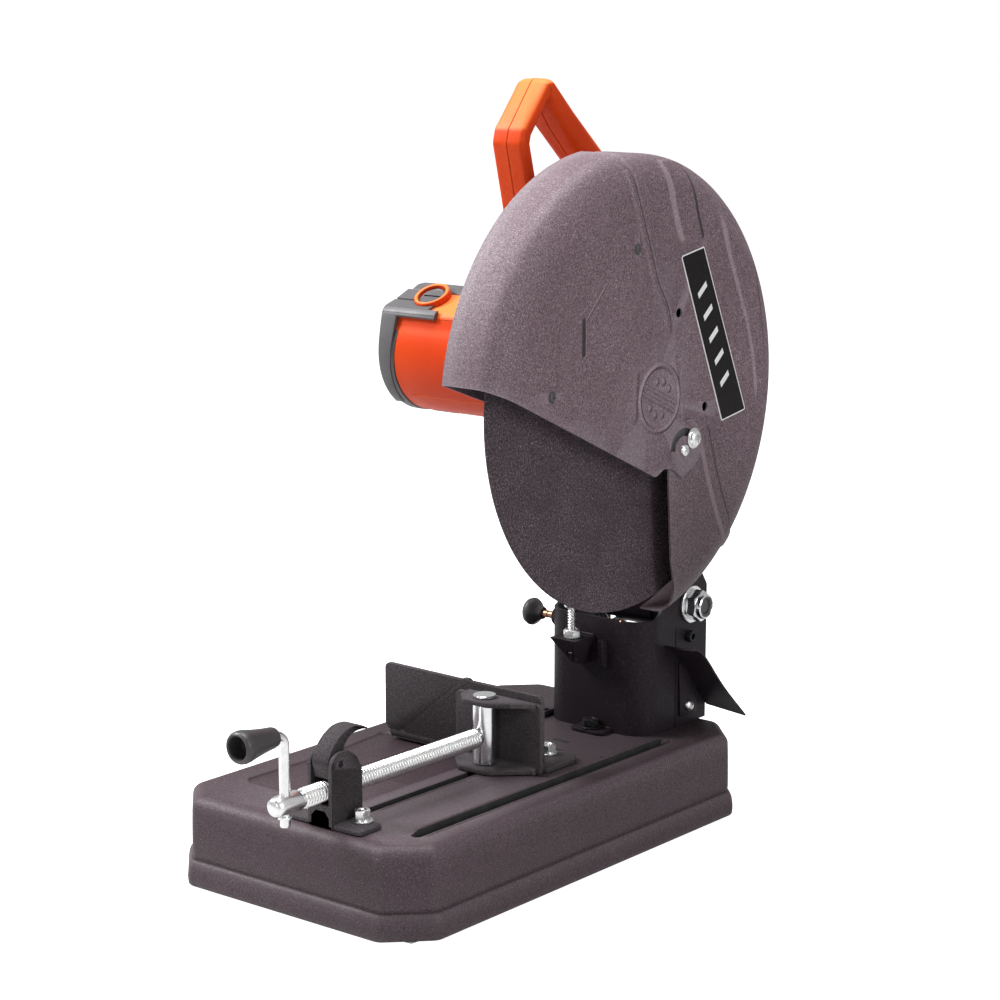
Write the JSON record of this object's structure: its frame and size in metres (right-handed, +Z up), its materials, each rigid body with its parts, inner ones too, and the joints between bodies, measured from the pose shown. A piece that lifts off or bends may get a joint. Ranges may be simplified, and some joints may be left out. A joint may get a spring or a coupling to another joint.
{
  "type": "abrasive chop saw",
  "caption": "Abrasive cut-off saw: tilting motor head with guarded wheel on a pressed base with a quick-release screw vise, swivel fence and spark deflector.",
  "frame": {"origin": "on the ground under the centre of the whole saw's bounding box", "axes": "+X towards the operator's right, the wheel side; +Y towards the rear, the column side; +Z up"},
  "size_m": [0.282, 0.576, 0.6239],
  "materials": {
    "base_textured_paint": "dark plum-black powder coat with a fine hammered texture",
    "guard_textured_paint": "mauve-grey textured powder coat on pressed sheet",
    "column_satin_black": "smooth satin black paint",
    "orange_plastic": "moulded orange plastic with a fine satin grain",
    "dark_grey_plastic": "moulded dark grey plastic",
    "zinc_plated_steel": "bright zinc plating",
    "bare_steel": "ground steel",
    "black_oxide": "black oxide",
    "copper_plated_steel": "copper-coloured plating, dulled",
    "cast_aluminium": "as-cast aluminium",
    "lamination_steel": "stacked steel laminations",
    "abrasive_disc": "coarse bonded abrasive grain with sparkle",
    "black_rubber": "black rubber"
  },
  "bodies": {
    "frame": {"base_pan": "base_textured_paint", "foot_front_left": "black_rubber", "foot_front_right": "black_rubber", "foot_rear_left": "black_rubber", "foot_rear_right": "black_rubber", "column": "column_satin_black", "column_bolt_front": "black_oxide", "pivot_bolt": "zinc_plated_steel", "pivot_washer": "zinc_plated_steel", "pivot_nut": "zinc_plated_steel", "limit_screw": "black_oxide", "deflector_screw": "zinc_plated_steel", "spark_deflector": "column_satin_black", "depth_stop_nut": "zinc_plated_steel", "lock_pin_bush": "black_oxide", "return_spring": "bare_steel", "fence_pivot_bolt": "zinc_plated_steel", "fence_clamp_bolt": "zinc_plated_steel", "vise_bracket": "base_textured_paint", "bracket_bolt_right": "zinc_plated_steel", "bracket_bolt_left": "zinc_plated_steel", "lever_pin": "bare_steel"},
    "head": {"arm_gear_case": "column_satin_black", "gear_cover": "cast_aluminium", "spindle_bearing_left": "bare_steel", "spindle_bearing_right": "bare_steel", "motor_housing": "orange_plastic", "motor_end_cap": "dark_grey_plastic", "stator": "lamination_steel", "brush_cap_front": "dark_grey_plastic", "brush_cap_rear": "dark_grey_plastic", "handle_shell_left": "orange_plastic", "handle_shell_right": "orange_plastic", "power_cord": "black_rubber", "wheel_guard": "guard_textured_paint", "cover_pivot_screw": "zinc_plated_steel", "cover_clamp_screw": "zinc_plated_steel"},
    "wheel": {"abrasive_wheel": "abrasive_disc", "inner_flange": "bare_steel", "outer_flange": "bare_steel", "spindle": "bare_steel", "spindle_bolt": "zinc_plated_steel", "spindle_gear": "bare_steel"},
    "armature": {"armature_shaft": "bare_steel", "armature_core": "lamination_steel", "cooling_fan": "dark_grey_plastic"},
    "side_cover": {"side_cover": "guard_textured_paint"},
    "trigger": {"trigger": "dark_grey_plastic"},
    "lock_on_button": {"lock_on_button": "dark_grey_plastic"},
    "spindle_lock": {"spindle_lock_button": "dark_grey_plastic"},
    "lock_pin": {"lock_pin_shaft": "copper_plated_steel", "lock_pin_knob": "dark_grey_plastic"},
    "depth_stop": {"depth_stop_bolt": "zinc_plated_steel"},
    "fence": {"fence": "base_textured_paint"},
    "jaw_carrier": {"swivel_barrel": "zinc_plated_steel"},
    "jaw": {"jaw": "base_textured_paint"},
    "vise_screw": {"vise_screw": "zinc_plated_steel", "crank_rod": "zinc_plated_steel"},
    "crank_grip": {"crank_grip": "dark_grey_plastic"},
    "half_nut": {"half_nut_lever": "base_textured_paint"}
  },
  "joints": [
    {"name": "head_tilt", "type": "hinge", "parent": "frame", "child": "head", "pos_m": [0.0435, 0.21505, 0.177], "axis": [1, 0, 0], "range_deg": [0, 42], "stiffness_Nm_per_rad": 12, "springref_deg": -126.05},
    {"name": "wheel_spin", "type": "hinge", "parent": "head", "child": "wheel", "pos_m": [0.1065, 0.09605, 0.375], "axis": [1, 0, 0], "continuous": true},
    {"name": "armature_spin", "type": "hinge", "parent": "head", "child": "armature", "pos_m": [0.008, 0.13623, 0.38723], "axis": [1, 0, 0], "continuous": true},
    {"name": "cover_swing", "type": "hinge", "parent": "head", "child": "side_cover", "pos_m": [0.129, 0.14505, 0.325], "axis": [-1, 0, 0], "range_deg": [0, 130]},
    {"name": "trigger_press", "type": "slide", "parent": "head", "child": "trigger", "axis": [0, 0.745, 0.667], "range_m": [0, 0.005], "stiffness_N_per_m": 600, "springref_m": -0.004},
    {"name": "lock_on_press", "type": "slide", "parent": "head", "child": "lock_on_button", "axis": [1, 0, 0], "range_m": [0, 0.0035], "stiffness_N_per_m": 500, "springref_m": -0.003},
    {"name": "spindle_lock_press", "type": "slide", "parent": "head", "child": "spindle_lock", "axis": [0, 1, 0], "range_m": [0, 0.0035], "stiffness_N_per_m": 700, "springref_m": -0.003},
    {"name": "lock_pin_slide", "type": "slide", "parent": "frame", "child": "lock_pin", "axis": [1, 0, 0], "range_m": [0, 0.009]},
    {"name": "depth_stop_adjust", "type": "slide", "parent": "frame", "child": "depth_stop", "axis": [0, 0, 1], "range_m": [-0.012, 0]},
    {"name": "fence_swivel", "type": "hinge", "parent": "frame", "child": "fence", "pos_m": [0.062, 0.05305, 0.076], "axis": [0, 0, -1], "range_deg": [0, 45]},
    {"name": "jaw_slide", "type": "slide", "parent": "frame", "child": "jaw_carrier", "axis": [0, -1, 0], "range_m": [-0.0025, 0.13]},
    {"name": "jaw_swivel", "type": "hinge", "parent": "jaw_carrier", "child": "jaw", "pos_m": [0.039, 0.00005, 0.1], "axis": [0, 0, -1], "range_deg": [0, 45]},
    {"name": "screw_spin", "type": "hinge", "parent": "jaw_carrier", "child": "vise_screw", "pos_m": [0.039, 0.00005, 0.1], "axis": [0, 1, 0], "continuous": true},
    {"name": "crank_grip_spin", "type": "hinge", "parent": "vise_screw", "child": "crank_grip", "pos_m": [0.039, -0.23295, 0.1545], "axis": [0, 1, 0], "continuous": true},
    {"name": "half_nut_release", "type": "hinge", "parent": "frame", "child": "half_nut", "pos_m": [0.039, -0.18495, 0.122], "axis": [1, 0, 0], "range_deg": [0, 60], "stiffness_Nm_per_rad": 0.6, "springref_deg": -28.65}
  ],
  "couplings": [
    {"joint": "armature_spin", "follows": "wheel_spin", "ratio": -2.6923},
    {"joint": "screw_spin", "follows": "jaw_slide", "rad_per_m": -2094.4},
    {"joint": "jaw_swivel", "follows": "fence_swivel", "ratio": 1}
  ]
}
